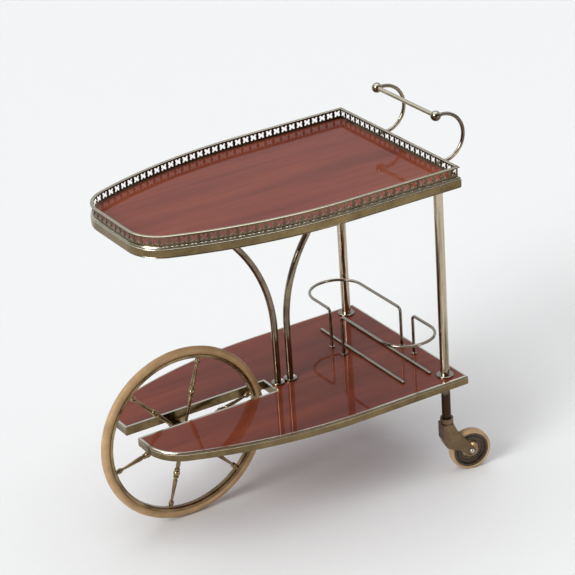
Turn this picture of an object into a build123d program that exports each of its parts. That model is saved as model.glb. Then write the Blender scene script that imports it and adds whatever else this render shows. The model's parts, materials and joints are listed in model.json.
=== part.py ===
from build123d import *
import os
from math import atan2, cos, pi, radians, sin, tan

# A two-tier bar cart: one large spoked wheel runs in a slot at the front of the lower tray,
# two casters carry the rear posts, and a bottle rack stands on the lower tray.
# Millimetres. +Z is up, +X points to the handle end, the floor is z = 0 and the origin is
# at the centre of the footprint. y < 0 is called "near" and y > 0 is called "far".

# ---------------------------------------------------------------- driving dimensions
# trays, both cut to one outline
tray_length = 630.0
tray_width = 410.0
side_straight = 238.0          # straight part of each long side, from the rear corner
front_straight = 122.4         # straight part of the front edge, between its rounded corners
front_corner_radius = 80.0
band_wall = 2.0                # brass sheet of both edge bands
lip_thickness = 1.0            # top lip of each band, let in flush with the panel's face

upper_top_z = 631.0
upper_band_height = 22.0
upper_panel_thickness = 12.0
upper_lip_width = 9.0

lower_top_z = 214.0
lower_band_height = 18.0
lower_panel_thickness = 11.0
lower_lip_width = 5.0

# wheel slot in the lower tray
slot_width = 50.0
slot_gap = 18.0                # between the wheel's rim line and the slot's closed end

# pierced gallery round the upper tray
gallery_inset = 4.5            # from the tray outline to the outer face of the strip
gallery_thickness = 1.5
gallery_height = 17.8
rail_outer_inset = 1.5
rail_width = 6.5
rail_thickness = 2.4
piercing_pitch = 17.2
piercing_width = 12.8
piercing_height = 11.6
piercing_centre_height = 9.6   # above the band

# rear posts
post_radius = 9.0
post_wall = 1.5
post_back = 34.0               # post axis, ahead of the trays' rear edge
post_from_side = 29.0          # post axis, in from the trays' side edge
flange_rim = 8.0               # width of each flange round its post, which holds the screws
flange_thickness = 3.0
collar_radius = 17.0
collar_height = 4.0

# bowed centre tubes
centre_tube_radius = 6.6
centre_tube_wall = 1.2
centre_tube_gap = 28.0         # between the two axes at the lower tray
centre_tube_back = 33.0        # middle of the pair, behind the slot's closed end
centre_bow_start_z = 330.0
centre_bow_radius = 300.0
centre_bow_angle = 45.0
foot_radius = 13.4
foot_height = 4.0
foot_floor = 1.6               # bottom of the dished foot, which the tube stands on
foot_rim = 1.2
foot_gap = 2.2                 # flat round the tube in the foot

# handle
handle_reach = 32.0            # straight part of each arm behind the band
handle_bow_radius = 48.0
handle_spacing = 200.0         # between the two arms
handle_wire_radius = 3.7
handle_ball_radius = 10.2
handle_ball_back = 19.0        # ball centre, behind the trays' rear edge
handle_socket = 5.0            # depth of the holes in the balls
grip_radius = 4.3
rosette_radius = 8.0
rosette_thickness = 2.0

# bottle rack: two equal wires, one turned half a turn from the other
rack_wire_radius = 3.0
rack_width = 112.0
rack_reach = 180.0             # from the rack's centre to the outside of each rounded end
rack_end_flat = 4.0            # straight part between the two corners of a rounded end
rack_bend_radius = 9.0
rack_height = 85.0             # wire axis above the tray's top edge
rack_back = 85.0               # rack's centre line, ahead of the trays' rear edge
rack_long_leg = 63.0           # offset of the leg on the same side as the rounded end
rack_short_leg = 20.0          # offset of the leg on the other side
rack_foot_radius = 5.5
rack_foot_height = 3.0
rest_radius = 3.2
rest_length = 300.0
rest_spacing = 62.0
rest_sink = 0.8                # flat under each rest bar
rest_offset = -6.0             # middle of the rest bars, from the centre line

# front wheel
wheel_radius = 177.0
wheel_back = 110.0             # wheel centre, behind the trays' front edge
tyre_section_radius = 8.5
rim_seat = 7.0                 # rim's outer edge, inside the centre line of the tyre's section
rim_depth = 7.0
rim_half_width = 7.0
spoke_count = 6
spoke_phase = 13.5
spoke_spigot_radius = 2.5
spoke_spigot_length = 3.0
spoke_shoulder_radius = 4.6
spoke_shoulder_sink = 2.0      # shoulder let into the hub's drum
spoke_tip_radius = 4.0
spoke_tip_sink = 0.4           # tip let into the rim
knuckle_distance = 84.0        # from the wheel's centre to the middle of the spoke's knuckle
hub_drum_radius = 16.0
hub_drum_half_width = 9.0
hub_neck_radius = 9.0
hub_end_radius = 13.0
hub_end_width = 3.0
axle_radius = 5.0
running_clearance = 0.05
bracket_thickness = 2.5
bracket_foot_width = 18.0
bracket_half_length = 30.0
bracket_drop = 8.0             # bracket plate below the tray panel
bracket_eye_radius = 12.0
washer_thickness = 1.2
washer_radius = 9.0
hub_play = 0.8                 # side play between each washer and the hub
nut_radius = 8.5
nut_length = 7.0
screw_radius = 1.8
screw_head_radius = 3.6
screw_head_height = 1.8
screw_length = 8.0

# casters
caster_radius = 42.0
caster_trail = 46.0
caster_rest_near = -12.0       # direction of trail at rest, from +X
caster_rest_far = 10.0
caster_tyre_thickness = 6.0
caster_tyre_half_width = 10.0
caster_core_half_width = 9.0
caster_side_play = 1.2         # between the hub and each cheek
caster_web_half_width = 3.5
caster_dome_radius = 20.0      # domed middle of the wheel
caster_flange_depth = 4.0      # flange under the tyre
caster_ridge = 1.6             # height of the ring on the web
cheek_gap = 23.4
cheek_thickness = 2.5
fork_tip_radius = 9.5
fork_head_radius = 13.0
fork_head_height = 17.0
fork_rise = 80.2               # top of the fork's head, above the caster's axle
fork_head_gap = 0.8            # between the post's end and the fork's head
fork_back = 13.0               # back of the fork's cheeks, behind the swivel axis
fork_front = 9.0               # front of the cheeks under the head, ahead of the swivel axis
fork_wheel_gap = 3.0
stem_radius = 5.0
stem_length = 58.0
socket_length = 46.0
caster_axle_radius = 4.0
caster_rivet_radius = 5.0
caster_rivet_height = 3.0

# ---------------------------------------------------------------- places that follow
front_reach = tray_length - wheel_back + wheel_radius
rear_reach = handle_reach + handle_bow_radius + handle_wire_radius
rear_x = (front_reach - rear_reach) / 2
front_x = rear_x - tray_length
half_width = tray_width / 2
far_out = 2 * tray_length      # beyond everything

# each side runs straight, then as a long arc that meets the front corner's arc in line
side_x = rear_x - side_straight
corner_x = front_x + front_corner_radius
corner_y = front_straight / 2
side_fall = half_width - corner_y
side_radius = (side_x - corner_x) ** 2 + side_fall**2 - front_corner_radius**2
side_radius /= 2 * (side_fall - front_corner_radius)

upper_lip_bottom = upper_top_z - lip_thickness
upper_panel_bottom = upper_lip_bottom - upper_panel_thickness
lower_lip_bottom = lower_top_z - lip_thickness
lower_panel_bottom = lower_lip_bottom - lower_panel_thickness
lower_band_bottom = lower_top_z - lower_band_height

slot_half = slot_width / 2
wheel_x = front_x + wheel_back
wheel_z = wheel_radius
slot_end_x = wheel_x + wheel_radius + slot_gap
flange_radius = post_radius + flange_rim
post_x = rear_x - post_back
post_side = half_width - post_from_side
head_top = caster_radius + fork_rise
post_end_z = head_top + fork_head_gap
centre_x = slot_end_x + centre_tube_back
rack_x = rear_x - rack_back
handle_z = upper_top_z - upper_band_height / 2
handle_top_z = handle_z + 2 * handle_bow_radius
ball_x = rear_x + handle_ball_back


# ---------------------------------------------------------------- helpers
def tray_wire(inset, z):
    """The tray's outline, moved in by inset, at height z."""
    arc_y = half_width - side_radius
    join = atan2(corner_y - arc_y, corner_x - side_x)
    long = side_radius - inset
    small = front_corner_radius - inset
    half = half_width - inset
    rear = rear_x - inset
    front = front_x + inset
    edges = [Line((rear, -half, z), (rear, half, z))]
    for side in (1, -1):
        def at(x, y, radius, angle):
            return (x + radius * cos(angle), side * (y + radius * sin(angle)), z)
        start = at(side_x, arc_y, long, pi / 2)
        knee = at(side_x, arc_y, long, join)
        nose = at(corner_x, corner_y, small, pi)
        edges.append(Line((rear, side * half, z), start))
        edges.append(ThreePointArc(start, at(side_x, arc_y, long, (pi / 2 + join) / 2), knee))
        edges.append(ThreePointArc(knee, at(corner_x, corner_y, small, (join + pi) / 2), nose))
    edges.append(Line((front, corner_y, z), (front, -corner_y, z)))
    return Wire([e.edge() for e in edges])


def corner_join_x(inset):
    """x of the joint between the long side arc and the front corner arc."""
    return side_x - (side_radius - inset) * (side_x - corner_x) / (side_radius - front_corner_radius)


def tray_prism(inset, low, high):
    return extrude(Face(tray_wire(inset, low)), amount=high - low, dir=(0, 0, 1))


def moulded(profile, top):
    """Solid whose edge follows a moulding: pairs of drop below top and inset."""
    return Solid.make_loft([tray_wire(inset, top - drop) for drop, inset in profile], ruled=True)


def block(low, high):
    size = [b - a for a, b in zip(low, high)]
    centre = [(a + b) / 2 for a, b in zip(low, high)]
    return Pos(*centre) * Box(*size)


def rod(start, end, radius):
    """Round bar between two points."""
    axis = Vector(*end) - Vector(*start)
    plane = Plane(origin=start, z_dir=axis)
    return extrude(plane * Circle(radius), amount=axis.length)


def disc(centre, radius, height):
    return Pos(*centre) * Cylinder(radius, height, align=(Align.CENTER, Align.CENTER, Align.MIN))


def swept(path, radius):
    """Round section along a path."""
    section = Plane(origin=path @ 0, z_dir=path % 0) * Circle(radius)
    return sweep(section, path=path)


def turned(points):
    """Solid of revolution about Z from pairs of height and radius."""
    outline = Polyline(*[(radius, 0, height) for height, radius in points], close=True)
    return revolve(make_face(outline), axis=Axis.Z)


def mirrored(points):
    """A turned profile given for one half, closed with its mirror image."""
    return points + [(-height, radius) for height, radius in reversed(points)]


parts = {}

# ---------------------------------------------------------------- upper tray
upper_moulding = [
    (0.0, 3.2), (0.6, 1.7), (2.2, 0.7), (3.6, 0.8), (4.3, 1.6), (5.1, 0.5), (6.2, 0.0),
    (19.3, 0.0), (20.0, 0.8), (20.8, 0.4), (upper_band_height, 1.0),
]
upper_panel = tray_prism(band_wall, upper_panel_bottom, upper_lip_bottom)
upper_panel += tray_prism(upper_lip_width, upper_lip_bottom, upper_top_z)
upper_band = moulded(upper_moulding, upper_top_z)
upper_band -= tray_prism(band_wall, upper_top_z - upper_band_height, upper_lip_bottom)
upper_band -= tray_prism(upper_lip_width, upper_lip_bottom, upper_top_z)
parts["upper_edge_band"] = upper_band

# ---------------------------------------------------------------- pierced gallery
gallery_inner = gallery_inset + gallery_thickness
gallery_top = upper_top_z + gallery_height
gallery_ring = tray_prism(gallery_inset, upper_top_z, gallery_top)
gallery_ring -= tray_prism(gallery_inner, upper_top_z, gallery_top)


def piercing(point, tangent):
    """Cutter for one butterfly-shaped hole."""
    w = piercing_width / 2
    h = piercing_height / 2
    quarter = [(w, h * 0.4), (w, h), (w * 0.45, h), (0, h * 0.45)]
    waist = w * 0.8
    outline = [(waist, 0)] + quarter + [(-x, y) for x, y in reversed(quarter[:-1])] + [(-waist, 0)]
    outline += [(-x, -y) for x, y in quarter] + [(x, -y) for x, y in reversed(quarter[:-1])]
    centre = Vector(point.X, point.Y, upper_top_z + piercing_centre_height)
    plane = Plane(origin=centre, x_dir=tangent, z_dir=tangent.cross(Vector(0, 0, 1)))
    return extrude(plane * make_face(Polyline(*outline, close=True)), amount=3, both=True)


def piercings(path):
    count = int(path.length / piercing_pitch)
    return [piercing(path @ ((i + 0.5) / count), path % ((i + 0.5) / count)) for i in range(count)]


middle = tray_wire(gallery_inset + gallery_thickness / 2, upper_top_z)
join_x = corner_join_x(gallery_inset)
regions = {
    "gallery_rear": block((rear_x - gallery_inner, -far_out, 0), (far_out, far_out, 2 * upper_top_z)),
    "gallery_near": block((join_x, -far_out, 0), (rear_x - gallery_inner, 0, 2 * upper_top_z)),
    "gallery_far": block((join_x, 0, 0), (rear_x - gallery_inner, far_out, 2 * upper_top_z)),
    "gallery_front": block((-far_out, -far_out, 0), (join_x, far_out, 2 * upper_top_z)),
}


def path_in(name):
    """The edges of the gallery's centre line that belong to one strip, joined in order."""
    def belongs(edge):
        at = edge.position_at(0.5)
        if name == "gallery_rear":
            return abs(at.X - (rear_x - gallery_inset - gallery_thickness / 2)) < 0.01
        if name == "gallery_front":
            return at.X < join_x
        inside = join_x < at.X < rear_x - gallery_inner
        return inside and (at.Y < 0) == (name == "gallery_near")
    return Wire([edge for edge in middle.edges() if belongs(edge)])


for name, region in regions.items():
    strip = gallery_ring & region
    parts[name] = strip - piercings(path_in(name))

rail_outer = [(0.0, rail_outer_inset + 0.9), (0.5, rail_outer_inset), (rail_thickness, rail_outer_inset)]
rail_inner_inset = rail_outer_inset + rail_width
rail_top = gallery_top + rail_thickness
rail = moulded(rail_outer, rail_top)
rail -= moulded([(0.0, rail_inner_inset - 0.9), (0.5, rail_inner_inset), (rail_thickness, rail_inner_inset)],
                rail_top)
parts["gallery_rail"] = rail

# ---------------------------------------------------------------- lower tray
lower_moulding = [
    (0.0, 2.0), (0.5, 0.9), (1.6, 0.2), (3.8, 0.2), (4.4, 0.9), (5.0, 0.2), (6.0, 0.0),
    (lower_band_height - 2.2, 0.0), (lower_band_height - 0.7, 0.4), (lower_band_height, 1.4),
]
low_z, high_z = lower_band_bottom, lower_top_z
lining_half = slot_half + band_wall
lining_end = slot_end_x + band_wall
slot_clear = block((front_x - 1, -slot_half, low_z - 1), (slot_end_x, slot_half, high_z + 1))
slot_lined = block((front_x - 1, -lining_half, low_z - 1), (lining_end, lining_half, high_z + 1))
slot_lip_half = slot_half + lower_lip_width
slot_lip_end = slot_end_x + lower_lip_width
slot_lined += block((front_x - 1, -slot_lip_half, lower_lip_bottom), (slot_lip_end, slot_lip_half, high_z + 1))
lower_solid = moulded(lower_moulding, lower_top_z)
lower_band = lower_solid - tray_prism(band_wall, low_z, lower_lip_bottom)
lower_band -= tray_prism(lower_lip_width, lower_lip_bottom, lower_top_z)
parts["lower_edge_band"] = lower_band - slot_lined
parts["slot_lining"] = (lower_solid & slot_lined) - slot_clear
lower_panel = tray_prism(band_wall, lower_panel_bottom, lower_lip_bottom)
lower_panel += tray_prism(lower_lip_width, lower_lip_bottom, lower_top_z)
lower_panel -= slot_lined

# ---------------------------------------------------------------- rear posts and their collars
upper_screws = []
lower_screws = []


def screw_from_below(x, y, face_z):
    """Pan head screw under face_z, with its shank pointing up."""
    shank = disc((x, y, face_z), screw_radius, screw_length)
    head = disc((x, y, face_z - screw_head_height), screw_head_radius, screw_head_height)
    return shank + head


def ring_of_screws(x, y, radius, face_z):
    turns = [radians(90 + 120 * i) for i in range(3)]
    return [screw_from_below(x + radius * cos(t), y + radius * sin(t), face_z) for t in turns]


flange_z = upper_panel_bottom - flange_thickness
flange_screw_circle = (flange_radius + post_radius) / 2
for side, label in ((-1, "near"), (1, "far")):
    y = side * post_side
    tube = disc((post_x, y, post_end_z), post_radius, flange_z - post_end_z)
    tube -= disc((post_x, y, post_end_z), post_radius - post_wall, flange_z - post_end_z)
    parts[f"post_{label}"] = tube
    lower_panel -= disc((post_x, y, lower_panel_bottom), post_radius, lower_top_z - lower_panel_bottom)
    collar = disc((post_x, y, lower_top_z), collar_radius, collar_height)
    collar = fillet(collar.edges().group_by(Axis.Z)[-1], collar_height / 2)
    parts[f"post_collar_{label}"] = collar - disc((post_x, y, lower_top_z), post_radius, collar_height)
    flange = disc((post_x, y, flange_z), flange_radius, flange_thickness)
    fixings = ring_of_screws(post_x, y, flange_screw_circle, flange_z)
    upper_screws += fixings
    parts[f"post_flange_{label}"] = flange - fixings
    socket = disc((post_x, y, post_end_z), post_radius - post_wall, socket_length)
    bore = disc((post_x, y, post_end_z), stem_radius + running_clearance, socket_length)
    parts[f"stem_socket_{label}"] = socket - bore

# ---------------------------------------------------------------- bowed centre tubes
bow = radians(centre_bow_angle)
bow_top_z = centre_bow_start_z + centre_bow_radius * sin(bow)
over_length = 4 * centre_tube_radius
foot = turned([
    (0, 0), (0, foot_radius), (foot_height - 0.6, foot_radius), (foot_height, foot_radius - 0.5),
    (foot_height, foot_radius - foot_rim), (foot_floor, centre_tube_radius + foot_gap), (foot_floor, 0),
])
for side, label in ((-1, "front"), (1, "rear")):
    foot_x = centre_x + side * centre_tube_gap / 2

    def bow_point(angle):
        run = centre_bow_radius * (1 - cos(angle))
        return (foot_x + side * run, 0, centre_bow_start_z + centre_bow_radius * sin(angle))

    def slope_point(z):
        return (bow_point(bow)[0] + side * (z - bow_top_z) * tan(bow), 0, z)

    start = (foot_x, 0, lower_top_z + foot_floor)
    path = Wire([
        Line(start, bow_point(0)).edge(),
        ThreePointArc(bow_point(0), bow_point(bow / 2), bow_point(bow)).edge(),
        Line(bow_point(bow), slope_point(flange_z + over_length)).edge(),
    ])
    tube = swept(path, centre_tube_radius) - swept(path, centre_tube_radius - centre_tube_wall)
    above = block((-far_out, -far_out, flange_z), (far_out, far_out, 2 * upper_top_z))
    parts[f"centre_tube_{label}"] = tube - above
    meet_x = slope_point(flange_z)[0]
    fixings = [screw_from_below(meet_x, y, flange_z) for y in (-flange_screw_circle, flange_screw_circle)]
    upper_screws += fixings
    parts[f"centre_flange_{label}"] = disc((meet_x, 0, flange_z), flange_radius, flange_thickness) - fixings
    parts[f"centre_foot_{label}"] = Pos(foot_x, 0, lower_top_z) * foot

parts["upper_panel"] = upper_panel - upper_screws

# ---------------------------------------------------------------- handle
ball_drill = handle_ball_radius - handle_socket
for side, label in ((-1, "near"), (1, "far")):
    y = side * handle_spacing / 2
    root = (rear_x + rosette_thickness, y, handle_z)
    low_bend = (rear_x + handle_reach, y, handle_z)
    back = (rear_x + handle_reach + handle_bow_radius, y, handle_z + handle_bow_radius)
    high_bend = (rear_x + handle_reach, y, handle_top_z)
    tip = (ball_x + ball_drill, y, handle_top_z)
    path = Wire([Line(root, low_bend).edge(), ThreePointArc(low_bend, back, high_bend).edge(),
                 Line(high_bend, tip).edge()])
    arm = swept(path, handle_wire_radius)
    parts[f"handle_arm_{label}"] = arm
    ball = Pos(ball_x, y, handle_top_z) * Sphere(handle_ball_radius)
    ball -= rod(tip, high_bend, handle_wire_radius)
    grip_end = (ball_x, y - side * ball_drill, handle_top_z)
    parts[f"handle_ball_{label}"] = ball - rod(grip_end, (ball_x, 0, handle_top_z), grip_radius)
grip_half = handle_spacing / 2 - ball_drill
parts["handle_grip"] = rod((ball_x, -grip_half, handle_top_z), (ball_x, grip_half, handle_top_z), grip_radius)
rosettes = [
    rod((rear_x, y, handle_z), (rear_x + rosette_thickness, y, handle_z), rosette_radius)
    for y in (-handle_spacing / 2, handle_spacing / 2)
]
parts["handle_rosettes"] = Compound(children=rosettes)

# ---------------------------------------------------------------- bottle rack
rack_top_z = lower_top_z + rack_height
rack_foot_top = lower_top_z + rack_foot_height
rack_end_radius = (rack_width - rack_end_flat) / 2
feet = []
for side, label in ((1, "far"), (-1, "near")):
    # the far wire has its long leg at the front, the near wire has it at the rear
    long_x = rack_x - side * rack_width / 2
    short_x = rack_x + side * rack_width / 2
    long_y = side * rack_long_leg
    short_y = -side * rack_short_leg
    end_y = side * (rack_reach - rack_wire_radius)
    corners = [
        (long_x, long_y, rack_foot_top), (long_x, long_y, rack_top_z), (long_x, end_y, rack_top_z),
        (short_x, end_y, rack_top_z), (short_x, short_y, rack_top_z), (short_x, short_y, rack_foot_top),
    ]
    path = FilletPolyline(*corners, radius=[rack_bend_radius, rack_end_radius, rack_end_radius,
                                            rack_bend_radius])
    parts[f"rack_wire_{label}"] = swept(path.wire(), rack_wire_radius)
    feet += [disc((x, y, lower_top_z), rack_foot_radius, rack_foot_height)
             for x, y in ((long_x, long_y), (short_x, short_y))]
parts["rack_feet"] = Compound(children=feet)

above_tray = block((-far_out, -far_out, lower_top_z), (far_out, far_out, upper_top_z))
for side, label in ((-1, "front"), (1, "rear")):
    x = rack_x + side * rest_spacing / 2
    z = lower_top_z + rest_radius - rest_sink
    ends = [(x, rest_offset + s * (rest_length / 2 - rest_radius), z) for s in (-1, 1)]
    bar = rod(ends[0], ends[1], rest_radius) + [Pos(*end) * Sphere(rest_radius) for end in ends]
    parts[f"rest_bar_{label}"] = bar & above_tray

# ---------------------------------------------------------------- front axle and its brackets
plate_inner = slot_half + band_wall
plate_outer = plate_inner + bracket_thickness
plate_bottom = lower_panel_bottom - bracket_drop
axle_half = plate_outer + nut_length
across = Plane.XZ
for side, label in ((-1, "near"), (1, "far")):
    slope = bracket_half_length - bracket_drop
    profile = Polyline(
        (wheel_x - bracket_half_length, lower_panel_bottom), (wheel_x - slope, plate_bottom),
        (wheel_x - bracket_eye_radius, wheel_z), (wheel_x + bracket_eye_radius, wheel_z),
        (wheel_x + slope, plate_bottom), (wheel_x + bracket_half_length, lower_panel_bottom), close=True,
    )
    face = across * make_face(profile) + across * (Pos(wheel_x, wheel_z) * Circle(bracket_eye_radius))
    plate = extrude(face, amount=bracket_thickness, dir=(0, side, 0)).moved(Pos(0, side * plate_inner, 0))
    lug_y = sorted((side * plate_outer, side * (plate_outer + bracket_foot_width)))
    low = (wheel_x - bracket_half_length, lug_y[0], lower_panel_bottom - bracket_thickness)
    high = (wheel_x + bracket_half_length, lug_y[1], lower_panel_bottom)
    foot = block(low, high)
    bore_ends = [(wheel_x, side * y, wheel_z) for y in (plate_inner, plate_outer)]
    screw_y = side * (plate_outer + bracket_foot_width / 2)
    fixings = [
        screw_from_below(wheel_x + dx, screw_y, lower_panel_bottom - bracket_thickness)
        for dx in (-bracket_half_length * 0.6, bracket_half_length * 0.6)
    ]
    lower_screws += fixings
    parts[f"axle_bracket_{label}"] = plate + foot - rod(*bore_ends, axle_radius) - fixings
parts["lower_panel"] = lower_panel - lower_screws
parts["tray_screws"] = Compound(children=upper_screws + lower_screws)
parts["front_axle"] = rod((wheel_x, -axle_half, wheel_z), (wheel_x, axle_half, wheel_z), axle_radius)
to_wheel = Pos(wheel_x, 0, wheel_z) * Rot(90, 0, 0)

washers = []
nuts = []
for side in (-1, 1):
    washer_y = sorted((side * plate_inner, side * (plate_inner - washer_thickness)))
    washer = rod((wheel_x, washer_y[0], wheel_z), (wheel_x, washer_y[1], wheel_z), washer_radius)
    washers.append(washer - rod((wheel_x, -plate_inner, wheel_z), (wheel_x, plate_inner, wheel_z), axle_radius))
    hexagon = Plane(origin=(wheel_x, side * plate_outer, wheel_z), z_dir=(0, side, 0))
    nut = extrude(hexagon * RegularPolygon(nut_radius, 6), amount=nut_length)
    nuts.append(nut - parts["front_axle"])
parts["axle_washers"] = Compound(children=washers)
parts["axle_nuts"] = Compound(children=nuts)

# ---------------------------------------------------------------- front wheel
hub_half = plate_inner - washer_thickness - hub_play
hub_bore = axle_radius + running_clearance
hub = turned(mirrored([
    (hub_half, hub_bore), (hub_half, hub_end_radius - 1), (hub_half - 1, hub_end_radius),
    (hub_half - hub_end_width, hub_end_radius), (hub_half - hub_end_width - 2, hub_neck_radius),
    (hub_drum_half_width + 2, hub_neck_radius), (hub_drum_half_width, hub_drum_radius - 1),
    (hub_drum_half_width - 1, hub_drum_radius),
]))
tyre_centre = wheel_radius - tyre_section_radius
rim_outer_radius = tyre_centre - rim_seat
rim_inner_radius = rim_outer_radius - rim_depth
tyre = Torus(tyre_centre, tyre_section_radius)
rim = turned(mirrored([
    (rim_half_width, rim_outer_radius), (rim_half_width, rim_inner_radius + 2),
    (rim_half_width - 1.5, rim_inner_radius + 0.5), (rim_half_width - 3.5, rim_inner_radius),
])) - tyre

# pairs of distance and radius: next to the hub's drum, about the knuckle's middle, and in from the rim
spoke_root = [(2.5, spoke_shoulder_radius), (3.5, 3.0), (8.0, 2.9)]
spoke_knuckle = [
    (-14.0, 4.3), (-12.0, 3.3), (-10.5, 3.3), (-9.5, 5.4), (-7.0, 5.4), (-6.0, 4.2), (-4.0, 5.6), (-1.5, 6.4),
    (1.0, 6.4), (3.5, 5.6), (5.5, 4.2), (6.5, 5.4), (9.0, 5.4), (10.0, 3.5), (12.0, 3.5), (14.0, 4.6),
]
spoke_tip = [(16.5, 2.6), (13.5, 3.0), (10.5, 5.0), (6.5, 5.2), (3.5, 4.2)]
hub_hole_bottom = hub_drum_radius - 2 * spoke_spigot_length
hub_shoulder = hub_drum_radius - spoke_shoulder_sink
rim_shoulder = rim_inner_radius + spoke_tip_sink
rim_hole_bottom = rim_inner_radius + spoke_spigot_length
outline = [(hub_hole_bottom, 0), (hub_hole_bottom, spoke_spigot_radius), (hub_shoulder, spoke_spigot_radius)]
outline += [(hub_shoulder, spoke_shoulder_radius)]
outline += [(hub_drum_radius + out, radius) for out, radius in spoke_root]
outline += [(knuckle_distance + out, radius) for out, radius in spoke_knuckle]
outline += [(rim_inner_radius - back, radius) for back, radius in spoke_tip]
outline += [(rim_shoulder, spoke_tip_radius), (rim_shoulder, spoke_spigot_radius)]
outline += [(rim_hole_bottom, spoke_spigot_radius), (rim_hole_bottom, 0)]
spoke = Rot(0, 90, 0) * turned(outline)
for i in range(spoke_count):
    placed = Rot(0, 0, spoke_phase + i * 360 / spoke_count) * spoke
    hub -= placed
    rim -= placed
    parts[f"spoke_{i + 1}"] = to_wheel * placed
parts["front_hub"] = to_wheel * hub
parts["front_rim"] = to_wheel * rim
parts["front_tyre"] = to_wheel * tyre

# ---------------------------------------------------------------- casters, made trailing to +X
cheek_inner = cheek_gap / 2
fork_half = cheek_inner + cheek_thickness
head_bottom = head_top - fork_head_height
head_lap = 6.0
axle_z = caster_radius
horn = Plane.XZ * make_face(Polyline(
    (-fork_back, head_bottom + head_lap), (-fork_back, axle_z + 36.0), (-fork_back + 8.0, axle_z + 17.0),
    (-fork_back + 23.0, axle_z + 9.5), (caster_trail - 26.0, axle_z + 6.0),
    (caster_trail - 3.0, axle_z - fork_tip_radius), (caster_trail + 6.0, axle_z - 7.0),
    (caster_trail + 9.0, axle_z + 2.0), (caster_trail - 12.0, axle_z + 30.0),
    (caster_trail - 25.0, axle_z + 44.0), (fork_front, head_bottom + head_lap), close=True,
))
fork = extrude(horn, amount=fork_half, both=True)
fork = chamfer(fork.faces().filter_by(Axis.Y).edges(), 1.2)
fork += disc((0, 0, head_bottom), fork_head_radius, fork_head_height)
wheel_space = Pos(caster_trail, 0, caster_radius) * Rot(90, 0, 0)
fork -= wheel_space * Cylinder(caster_radius + fork_wheel_gap, cheek_gap)
fork -= wheel_space * Cylinder(caster_axle_radius, 4 * fork_half)
stem = disc((0, 0, head_bottom), stem_radius, stem_length)
stem = chamfer(stem.edges().group_by(Axis.Z)[-1], 1.0)
fork -= disc((0, 0, head_bottom), stem_radius, fork_head_height)

rivet_tip = fork_half + caster_rivet_height
caster_axle = turned(mirrored([
    (rivet_tip, 0), (rivet_tip - 0.4, caster_rivet_radius * 0.5), (rivet_tip - 1.4, caster_rivet_radius * 0.88),
    (rivet_tip - 2.2, caster_rivet_radius), (fork_half, caster_rivet_radius), (fork_half, caster_axle_radius),
]))
core_radius = caster_radius - caster_tyre_thickness
flange_inner = core_radius - caster_flange_depth
hub_side = cheek_inner - caster_side_play
web_side = caster_web_half_width
ridge_side = web_side + caster_ridge
ridge_middle = (caster_dome_radius + flange_inner) / 2
dome = [(0.0, 0.36), (0.8, 0.56), (2.4, 0.76), (4.6, 0.91)]
core = turned(mirrored(
    [(hub_side, caster_axle_radius + running_clearance)]
    + [(hub_side - drop, caster_dome_radius * share) for drop, share in dome]
    + [
        (web_side, caster_dome_radius), (web_side, ridge_middle - 2.0), (ridge_side, ridge_middle - 1.2),
        (ridge_side, ridge_middle + 1.2), (web_side, ridge_middle + 2.0), (web_side, flange_inner - 1.5),
        (caster_core_half_width, flange_inner), (caster_core_half_width, core_radius),
    ]
))
caster_tyre = turned(mirrored([
    (caster_core_half_width, core_radius), (caster_tyre_half_width, core_radius + 1.2),
    (caster_tyre_half_width, caster_radius - 3.2), (caster_tyre_half_width - 1.2, caster_radius - 1.4),
    (caster_tyre_half_width - 3.2, caster_radius - 0.4), (caster_tyre_half_width - 5.4, caster_radius),
]))
for side, label, rest in ((-1, "near", caster_rest_near), (1, "far", caster_rest_far)):
    place = Pos(post_x, side * post_side, 0) * Rot(0, 0, rest)
    parts[f"caster_fork_{label}"] = place * fork
    parts[f"caster_stem_{label}"] = place * stem
    parts[f"caster_axle_{label}"] = place * wheel_space * caster_axle
    parts[f"caster_core_{label}"] = place * wheel_space * core
    parts[f"caster_tyre_{label}"] = place * wheel_space * caster_tyre

# ---------------------------------------------------------------- files
os.makedirs("parts", exist_ok=True)
for name, shape in parts.items():
    export_step(shape, f"parts/{name}.step")
print(len(parts), "nodes, rear edge at", rear_x, "wheel axis at", (wheel_x, wheel_z), "posts at", (post_x, post_side))
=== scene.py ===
import json
from math import cos, radians, sin

import bpy
from mathutils import Matrix, Vector


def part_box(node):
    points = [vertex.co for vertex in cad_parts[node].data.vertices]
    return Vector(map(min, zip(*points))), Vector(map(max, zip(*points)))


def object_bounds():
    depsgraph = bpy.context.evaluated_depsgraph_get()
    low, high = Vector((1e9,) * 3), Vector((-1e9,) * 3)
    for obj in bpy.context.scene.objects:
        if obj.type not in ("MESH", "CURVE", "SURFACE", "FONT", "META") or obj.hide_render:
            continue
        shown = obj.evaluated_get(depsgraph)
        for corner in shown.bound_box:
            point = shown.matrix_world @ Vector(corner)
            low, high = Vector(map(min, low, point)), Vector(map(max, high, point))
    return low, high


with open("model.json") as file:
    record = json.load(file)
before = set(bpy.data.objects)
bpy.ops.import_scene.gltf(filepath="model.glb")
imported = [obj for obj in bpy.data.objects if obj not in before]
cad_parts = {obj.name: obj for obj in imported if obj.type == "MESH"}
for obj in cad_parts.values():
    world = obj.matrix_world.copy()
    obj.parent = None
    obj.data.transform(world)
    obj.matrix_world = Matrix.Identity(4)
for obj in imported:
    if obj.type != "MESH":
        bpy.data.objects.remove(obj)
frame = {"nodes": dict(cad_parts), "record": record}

# The bar cart's looks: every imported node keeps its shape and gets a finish, and a camera, lights
# and a floor show them. Metres, +Z up, +X towards the handle, and the floor at z = 0.
CAD_LOW, CAD_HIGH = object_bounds()

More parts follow.
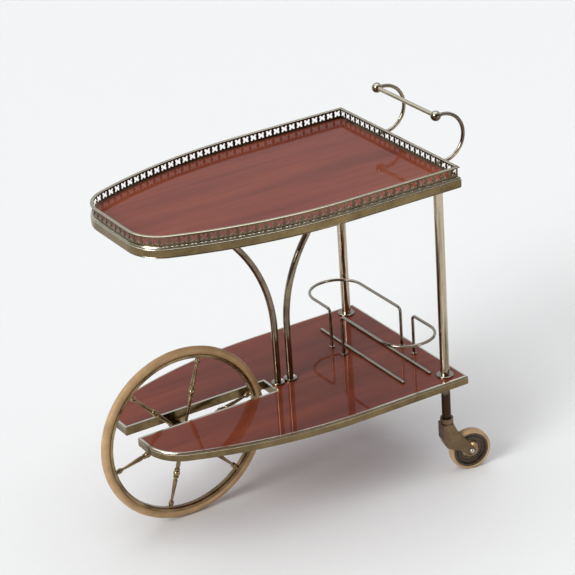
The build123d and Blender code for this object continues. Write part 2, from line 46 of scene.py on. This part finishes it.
# ---------------------------------------------------------------- camera
# seen from the near side towards the front wheel, looking down on the trays
VIEW_AZIMUTH = radians(-29.92)
VIEW_ELEVATION = radians(25.11)
VIEW_ROLL = radians(-3.99)
VIEW_DISTANCE = 4.4816
VIEW_TARGET = Vector((0.0395, 0.0055, 0.4056))
LENS = 146.25                  # millimetres, as the sensor's width
SENSOR = 36.0


def make_camera():
    """A long lens that looks at VIEW_TARGET and is rolled a little."""
    back = Vector((
        sin(VIEW_AZIMUTH) * cos(VIEW_ELEVATION),
        -cos(VIEW_AZIMUTH) * cos(VIEW_ELEVATION),
        sin(VIEW_ELEVATION),
    ))
    right = Vector((0, 0, 1)).cross(back).normalized()
    up = back.cross(right)
    rolled_right = cos(VIEW_ROLL) * right + sin(VIEW_ROLL) * up
    rolled_up = cos(VIEW_ROLL) * up - sin(VIEW_ROLL) * right
    place = Matrix((rolled_right, rolled_up, back)).transposed().to_4x4()
    place.translation = VIEW_TARGET + VIEW_DISTANCE * back
    data = bpy.data.cameras.new("camera")
    data.lens = LENS
    data.sensor_width = SENSOR
    camera = bpy.data.objects.new("camera", data)
    camera.matrix_world = place
    bpy.context.scene.collection.objects.link(camera)
    bpy.context.scene.camera = camera


# ---------------------------------------------------------------- stage and light
FLOOR_SIZE = 40.0
FLOOR_COLOUR = (0.82, 0.815, 0.80)
FLOOR_ROUGHNESS = 0.6

# each light: the way it comes from, seen from the middle of the cart, its power and its colour
WINDOW_LIGHT = dict(direction=(-6.4, -1.6, 4.0), power=2.1, colour=(0.94, 0.97, 1.0))
WINDOW_SPREAD = radians(28)
CEILING_LIGHT = dict(direction=(-0.15, 0.12, 0.95), power=1.15, colour=(1.0, 0.99, 0.97))
CEILING_SPREAD = radians(70)
LOW_LIGHT = dict(direction=(1.3, -3.3, 0.2), power=16, colour=(1.0, 0.96, 0.90))
LOW_LIGHT_WIDTH = 0.45
LOW_LIGHT_HEIGHT = 1.0

# the room that the lacquer and the metal mirror: dark on the camera's side, and palest towards
# a wall on the far side
WALL_DIRECTION = (0.42, 0.72, 0.55)
ROOM_STRENGTH = 0.9
ROOM_TONES = [
    (0.0, (0.05, 0.045, 0.04)),
    (0.30, (0.11, 0.105, 0.10)),
    (0.55, (0.28, 0.29, 0.30)),
    (0.78, (0.80, 0.83, 0.87)),
    (0.90, (0.66, 0.69, 0.74)),
    (1.0, (0.45, 0.48, 0.53)),
]


def make_floor():
    """A plain pale floor, wide enough to fill the view."""
    half = FLOOR_SIZE / 2
    corners = [(-half, -half, 0), (half, -half, 0), (half, half, 0), (-half, half, 0)]
    mesh = bpy.data.meshes.new("floor")
    mesh.from_pydata(corners, [], [(0, 1, 2, 3)])
    floor = bpy.data.objects.new("floor", mesh)
    bpy.context.scene.collection.objects.link(floor)
    nodes = Nodes("floor")
    nodes.set(Base_Color=FLOOR_COLOUR, Roughness=FLOOR_ROUGHNESS)
    mesh.materials.append(nodes.material)


def add_light(name, kind, direction, power, colour):
    """A light that shines on the middle of the cart; an area light stands at direction's end."""
    data = bpy.data.lights.new(name, kind)
    data.energy = power
    data.color = colour
    light = bpy.data.objects.new(name, data)
    light.location = (CAD_LOW + CAD_HIGH) / 2 + Vector(direction)
    light.rotation_mode = "QUATERNION"
    light.rotation_quaternion = Vector(direction).to_track_quat("Z", "Y")
    bpy.context.scene.collection.objects.link(light)
    return data


def make_lights():
    window = add_light("window_light", "SUN", **WINDOW_LIGHT)
    window.angle = WINDOW_SPREAD
    ceiling = add_light("ceiling_light", "SUN", **CEILING_LIGHT)
    ceiling.angle = CEILING_SPREAD
    panel = add_light("low_light", "AREA", **LOW_LIGHT)
    panel.shape = "RECTANGLE"
    panel.size = LOW_LIGHT_WIDTH
    panel.size_y = LOW_LIGHT_HEIGHT


def make_room():
    """The world: its tone at each direction depends on how near that is to WALL_DIRECTION."""
    world = bpy.data.worlds.new("world")
    bpy.context.scene.world = world
    world.use_nodes = True
    tree = world.node_tree
    tree.nodes.clear()
    coordinates = tree.nodes.new("ShaderNodeTexCoord")
    facing = tree.nodes.new("ShaderNodeVectorMath")
    facing.operation = "DOT_PRODUCT"
    facing.inputs[1].default_value = WALL_DIRECTION
    tree.links.new(coordinates.outputs["Generated"], facing.inputs[0])
    share = tree.nodes.new("ShaderNodeMapRange")
    share.inputs["From Min"].default_value = -1
    tree.links.new(facing.outputs["Value"], share.inputs["Value"])
    ramp = tree.nodes.new("ShaderNodeValToRGB")
    set_ramp(ramp, ROOM_TONES)
    tree.links.new(share.outputs["Result"], ramp.inputs[0])
    background = tree.nodes.new("ShaderNodeBackground")
    background.inputs["Strength"].default_value = ROOM_STRENGTH
    tree.links.new(ramp.outputs["Color"], background.inputs["Color"])
    output = tree.nodes.new("ShaderNodeOutputWorld")
    tree.links.new(background.outputs[0], output.inputs["Surface"])
    bpy.context.scene.view_settings.view_transform = "Standard"


# ---------------------------------------------------------------- material tools
def set_ramp(ramp, stops):
    """Gives a colour ramp its stops: pairs of position and colour."""
    elements = ramp.color_ramp.elements
    while len(elements) > 1:
        elements.remove(elements[-1])
    for i, (position, colour) in enumerate(stops):
        element = elements[0] if i == 0 else elements.new(position)
        element.position = position
        element.color = (*colour, 1)


class Nodes:
    """The node tree of one material, with short ways to add what the materials below share."""

    def __init__(self, name):
        self.material = bpy.data.materials.new(name)
        self.material.use_nodes = True
        self.tree = self.material.node_tree
        self.shader = self.tree.nodes["Principled BSDF"]
        coordinates = self.add("ShaderNodeTexCoord")
        self.place = coordinates.outputs["Object"]
        self.facing = coordinates.outputs["Normal"]

    def add(self, kind, **settings):
        """A new node of a kind, with its own settings."""
        node = self.tree.nodes.new(kind)
        for key, value in settings.items():
            setattr(node, key, value)
        return node

    def link(self, output, target):
        self.tree.links.new(output, target)

    def noise(self, scale, detail=4.0, roughness=0.55, stretch=(1, 1, 1)):
        """Noise from 0 to 1 over the object's own coordinates; scale is in waves per metre."""
        mapping = self.add("ShaderNodeMapping")
        mapping.inputs["Scale"].default_value = stretch
        self.link(self.place, mapping.inputs["Vector"])
        texture = self.add("ShaderNodeTexNoise")
        texture.inputs["Scale"].default_value = scale
        texture.inputs["Detail"].default_value = detail
        texture.inputs["Roughness"].default_value = roughness
        self.link(mapping.outputs[0], texture.inputs["Vector"])
        return texture.outputs["Fac"]

    def ramp(self, value, stops):
        """Colour that follows value through stops."""
        node = self.add("ShaderNodeValToRGB")
        set_ramp(node, stops)
        self.link(value, node.inputs[0])
        return node.outputs["Color"]

    def spread(self, value, low, high, start=0.0, end=1.0):
        """Maps value from low..high to start..end."""
        node = self.add("ShaderNodeMapRange")
        for key, number in zip(("From Min", "From Max", "To Min", "To Max"), (low, high, start, end)):
            node.inputs[key].default_value = number
        self.link(value, node.inputs["Value"])
        return node.outputs["Result"]

    def mix(self, factor, first, second):
        """Colour mix; first and second are colours or outputs."""
        node = self.add("ShaderNodeMix", data_type="RGBA")
        self.link(factor, node.inputs[0])
        for socket, value in ((node.inputs[6], first), (node.inputs[7], second)):
            if isinstance(value, tuple):
                socket.default_value = (*value, 1)
            else:
                self.link(value, socket)
        return node.outputs[2]

    def math(self, operation, *values):
        """Result of a math operation on numbers or outputs."""
        node = self.add("ShaderNodeMath", operation=operation)
        for socket, value in zip(node.inputs, values):
            if isinstance(value, (int, float)):
                socket.default_value = value
            else:
                self.link(value, socket)
        return node.outputs[0]

    def bump(self, height, strength, distance):
        """Bends the shader's normal as a surface with that height would."""
        node = self.add("ShaderNodeBump")
        node.inputs["Strength"].default_value = strength
        node.inputs["Distance"].default_value = distance
        self.link(height, node.inputs["Height"])
        self.link(node.outputs[0], self.shader.inputs["Normal"])

    def set(self, **values):
        """Sets or links the shader's sockets; a name has _ where the socket's has a space."""
        for key, value in values.items():
            socket = self.shader.inputs[key.replace("_", " ")]
            if isinstance(value, bpy.types.NodeSocket):
                self.link(value, socket)
            elif isinstance(value, tuple):
                socket.default_value = (*value, 1)
            else:
                socket.default_value = value


# ---------------------------------------------------------------- materials
# mahogany: tones of the veneer, and the darker streaks and pores in it
WOOD_TONES = [
    (0.30, (0.135, 0.023, 0.009)),
    (0.50, (0.205, 0.037, 0.013)),
    (0.70, (0.265, 0.054, 0.019)),
]
STREAK_COLOUR = (0.105, 0.017, 0.008)
PORE_COLOUR = (0.065, 0.012, 0.006)
# waves per metre along the cart, across it and upwards: the grain runs along the cart
TONE_WAVES = (1.6, 11, 11)
STREAK_WAVES = (3.5, 60, 60)
PORE_WAVES = (22, 700, 700)


def mahogany():
    """Red-brown veneer with its grain along the cart, under a clear glossy lacquer."""
    nodes = Nodes("lacquered_mahogany")
    tone = nodes.noise(1, detail=5, roughness=0.5, stretch=TONE_WAVES)
    streak = nodes.noise(1, detail=4, roughness=0.55, stretch=STREAK_WAVES)
    pore = nodes.noise(1, detail=3, roughness=0.6, stretch=PORE_WAVES)
    wood = nodes.ramp(tone, WOOD_TONES)
    wood = nodes.mix(nodes.spread(streak, 0.50, 0.72, end=0.50), wood, STREAK_COLOUR)
    wood = nodes.mix(nodes.spread(pore, 0.56, 0.70, end=0.30), wood, PORE_COLOUR)
    nodes.set(Base_Color=wood, Roughness=0.5, Specular_IOR_Level=0.1)
    nodes.set(Coat_Weight=1.0, Coat_Roughness=0.02, Coat_IOR=1.33)
    return nodes.material


BLOTCH_SHARE = 0.4             # of a metal's own scale: large stains
SPECK_SHARE = 8                # specks
SHINE_SHARE = 1.7              # where it is more or less polished
GRAIN_SHARE = 9                # fine unevenness
CORNER_REACH = 0.0035          # how far dirt reaches out of a corner
PAINTED_SHADE_EDGE = 0.01            # half the height over which the painted shade below the lower tray starts


def aged_metal(name, clean, stained, dark, shine, scale=60.0, stain=(0.40, 0.66),
               stretch=(1, 1, 1), painted_top_highlight=None, painted_shade_below=None):
    """Old metal with a worn polish: stained here and there, dark in its corners, with an uneven
    shine.

    shine is the range of its roughness, and scale is in waves per metre.
    stain is the range of the noise over which the metal turns from clean to stained.
    stretch draws the stains out into streaks along an axis.
    The colour for the faces that look up is a painted highlight: it makes their tops lighter, as
    light from above would.
    The last argument holds a height and a colour for painted shade: the metal below that height, near
    the floor under the lower tray, turns to that colour.
    """
    nodes = Nodes(name)
    blotch = nodes.noise(scale * BLOTCH_SHARE, detail=5, roughness=0.62, stretch=stretch)
    speck = nodes.noise(scale * SPECK_SHARE, detail=3, roughness=0.6)
    colour = nodes.mix(nodes.spread(blotch, *stain), clean, stained)
    # painted highlight: faces that look up turn towards a lighter colour, as light from above would
    # make them
    if painted_top_highlight:
        normal = nodes.add("ShaderNodeSeparateXYZ")
        nodes.link(nodes.facing, normal.inputs[0])
        upwards = nodes.spread(normal.outputs["Z"], 0.25, 0.80)
        colour = nodes.mix(upwards, colour, painted_top_highlight)
    # painted shade: below a height just under the lower tray the metal turns dark, as the tray's
    # shade would make it
    if painted_shade_below:
        height, brown = painted_shade_below
        place = nodes.add("ShaderNodeSeparateXYZ")
        nodes.link(nodes.place, place.inputs[0])
        wander = nodes.noise(scale, detail=3, roughness=0.6)
        edge = nodes.math("MULTIPLY_ADD", wander, 2 * PAINTED_SHADE_EDGE, place.outputs["Z"])
        below = nodes.spread(edge, height + PAINTED_SHADE_EDGE, height - PAINTED_SHADE_EDGE)
        colour = nodes.mix(below, colour, brown)
    colour = nodes.mix(nodes.spread(speck, 0.58, 0.72, end=0.6), colour, dark)
    corner = nodes.add("ShaderNodeAmbientOcclusion", only_local=True, samples=8)
    corner.inputs["Distance"].default_value = CORNER_REACH
    dirt = nodes.spread(corner.outputs["AO"], 0.35, 0.85, start=0.85, end=0.0)
    colour = nodes.mix(dirt, colour, dark)
    wear = nodes.noise(scale * SHINE_SHARE, detail=4, roughness=0.6)
    nodes.set(Base_Color=colour, Metallic=1.0, Roughness=nodes.spread(wear, 0.3, 0.7, *shine))
    nodes.bump(nodes.noise(scale * GRAIN_SHARE, detail=3, roughness=0.5), 0.10, 0.0004)
    return nodes.material


RUBBER_CLEAN = (0.52, 0.335, 0.165)
RUBBER_WORN = (0.36, 0.215, 0.09)
RUBBER_DIRT = (0.20, 0.11, 0.05)


def rubber():
    """Tan rubber, a little dirty."""
    nodes = Nodes("tan_rubber")
    blotch = nodes.noise(26, detail=5, roughness=0.6)
    speck = nodes.noise(420, detail=3, roughness=0.6)
    colour = nodes.mix(nodes.spread(blotch, 0.35, 0.7), RUBBER_CLEAN, RUBBER_WORN)
    colour = nodes.mix(nodes.spread(speck, 0.60, 0.72, end=0.6), colour, RUBBER_DIRT)
    nodes.set(Base_Color=colour, Roughness=nodes.spread(blotch, 0.3, 0.7, 0.38, 0.58))
    nodes.bump(nodes.noise(900, detail=3, roughness=0.5), 0.25, 0.0003)
    return nodes.material


DOME_RADIUS = 0.0205           # from the middle of a caster's wheel to the edge of its dome
DOME_EDGE = 0.0005             # half the width over which the finish changes there
CORE_CLEAN = (0.030, 0.019, 0.011)
CORE_WORN = (0.070, 0.043, 0.023)
DOME_CLEAN = (0.42, 0.30, 0.17)
DOME_WORN = (0.20, 0.13, 0.07)


def wheel_core(node):
    """Dark moulded core of a caster's wheel, with a brass dome in its middle."""
    nodes = Nodes("caster_core")
    low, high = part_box(node)
    away = nodes.add("ShaderNodeVectorMath", operation="DISTANCE")
    away.inputs[1].default_value = (low + high) / 2
    nodes.link(nodes.place, away.inputs[0])
    dome = nodes.spread(away.outputs["Value"], DOME_RADIUS + DOME_EDGE, DOME_RADIUS - DOME_EDGE)
    blotch = nodes.noise(90, detail=4, roughness=0.6)
    stain = nodes.spread(blotch, 0.35, 0.7)
    moulded = nodes.mix(stain, CORE_CLEAN, CORE_WORN)
    brass = nodes.mix(stain, DOME_CLEAN, DOME_WORN)
    nodes.set(Base_Color=nodes.mix(dome, moulded, brass), Metallic=dome)
    nodes.set(Roughness=nodes.spread(blotch, 0.3, 0.7, 0.20, 0.38))
    nodes.bump(nodes.noise(700, detail=3, roughness=0.5), 0.15, 0.0002)
    return nodes.material


PAINTED_SHADE_HEIGHT = 0.195         # just under the lower tray; below it the posts get painted shade

# the settings of each metal, which aged_metal explains; the colour for the faces that look up is a
# painted highlight
METALS = {
    "aged_brass_band": dict(
        clean=(0.215, 0.155, 0.076), stained=(0.125, 0.088, 0.042), dark=(0.035, 0.026, 0.016),
        shine=(0.12, 0.28), painted_top_highlight=(0.92, 0.86, 0.70)),
    "gallery_brass": dict(
        clean=(0.15, 0.11, 0.062), stained=(0.08, 0.055, 0.032), dark=(0.025, 0.016, 0.011),
        shine=(0.12, 0.28), painted_top_highlight=(0.78, 0.70, 0.52)),
    "tube_brass": dict(
        clean=(0.46, 0.385, 0.275), stained=(0.21, 0.155, 0.10), dark=(0.04, 0.028, 0.02),
        shine=(0.08, 0.22), painted_top_highlight=(0.95, 0.88, 0.66)),
    # the posts: random dark streaks, and painted shade below the lower tray
    "streaked_brass": dict(
        clean=(0.52, 0.44, 0.32), stained=(0.15, 0.105, 0.065), dark=(0.04, 0.028, 0.02),
        shine=(0.08, 0.22), stain=(0.44, 0.60), stretch=(4.5, 4.5, 0.16),
        painted_shade_below=(PAINTED_SHADE_HEIGHT, (0.045, 0.026, 0.016))),
    "dull_brass": dict(
        clean=(0.27, 0.215, 0.15), stained=(0.12, 0.085, 0.055), dark=(0.03, 0.02, 0.014),
        shine=(0.08, 0.22), painted_top_highlight=(0.50, 0.455, 0.37)),
    "wheel_brass": dict(
        clean=(0.36, 0.265, 0.14), stained=(0.14, 0.095, 0.05), dark=(0.025, 0.017, 0.011),
        shine=(0.14, 0.32)),
    "dark_bronze": dict(
        clean=(0.20, 0.14, 0.08), stained=(0.11, 0.073, 0.042), dark=(0.03, 0.02, 0.013),
        shine=(0.24, 0.44)),
    "steel_hardware": dict(
        clean=(0.66, 0.64, 0.60), stained=(0.42, 0.38, 0.32), dark=(0.10, 0.08, 0.06),
        shine=(0.14, 0.32), scale=120.0),
}


# nodes whose finish isn't the one of their slot, by how their names begin: the rack, the centre
# tubes, the collars, the feet and the handle's ends are seldom rubbed bright and get a weaker painted
# highlight on their tops, the posts have dark streaks from top to bottom and painted shade below the
# lower tray, and each caster's core has its own dome
FINISH_OF = {
    "rack_": "dull_brass",
    "rest_bar_": "dull_brass",
    "centre_": "dull_brass",
    "post_collar_": "dull_brass",
    "handle_arm_": "dull_brass",
    "handle_ball_": "dull_brass",
    "post_near": "streaked_brass",
    "post_far": "streaked_brass",
    "caster_core_near": "caster_core_near",
    "caster_core_far": "caster_core_far",
}


def make_materials():
    """All finishes by name: one for each of the record's slots, and those that FINISH_OF adds."""
    materials = {name: aged_metal(name, **settings) for name, settings in METALS.items()}
    materials["lacquered_mahogany"] = mahogany()
    for node in ("caster_core_near", "caster_core_far"):
        materials[node] = wheel_core(node)
    materials["tan_rubber"] = rubber()
    return materials


def paint_frame(materials):
    """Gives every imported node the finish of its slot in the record, or the one in FINISH_OF."""
    for part in frame["record"]["subparts"]:
        finish = part["material_slot"]
        for beginning, special in FINISH_OF.items():
            if part["node"].startswith(beginning):
                finish = special
        for slot in frame["nodes"][part["node"]].material_slots:
            slot.material = materials[finish]


make_camera()
make_floor()
make_lights()
make_room()
paint_frame(make_materials())
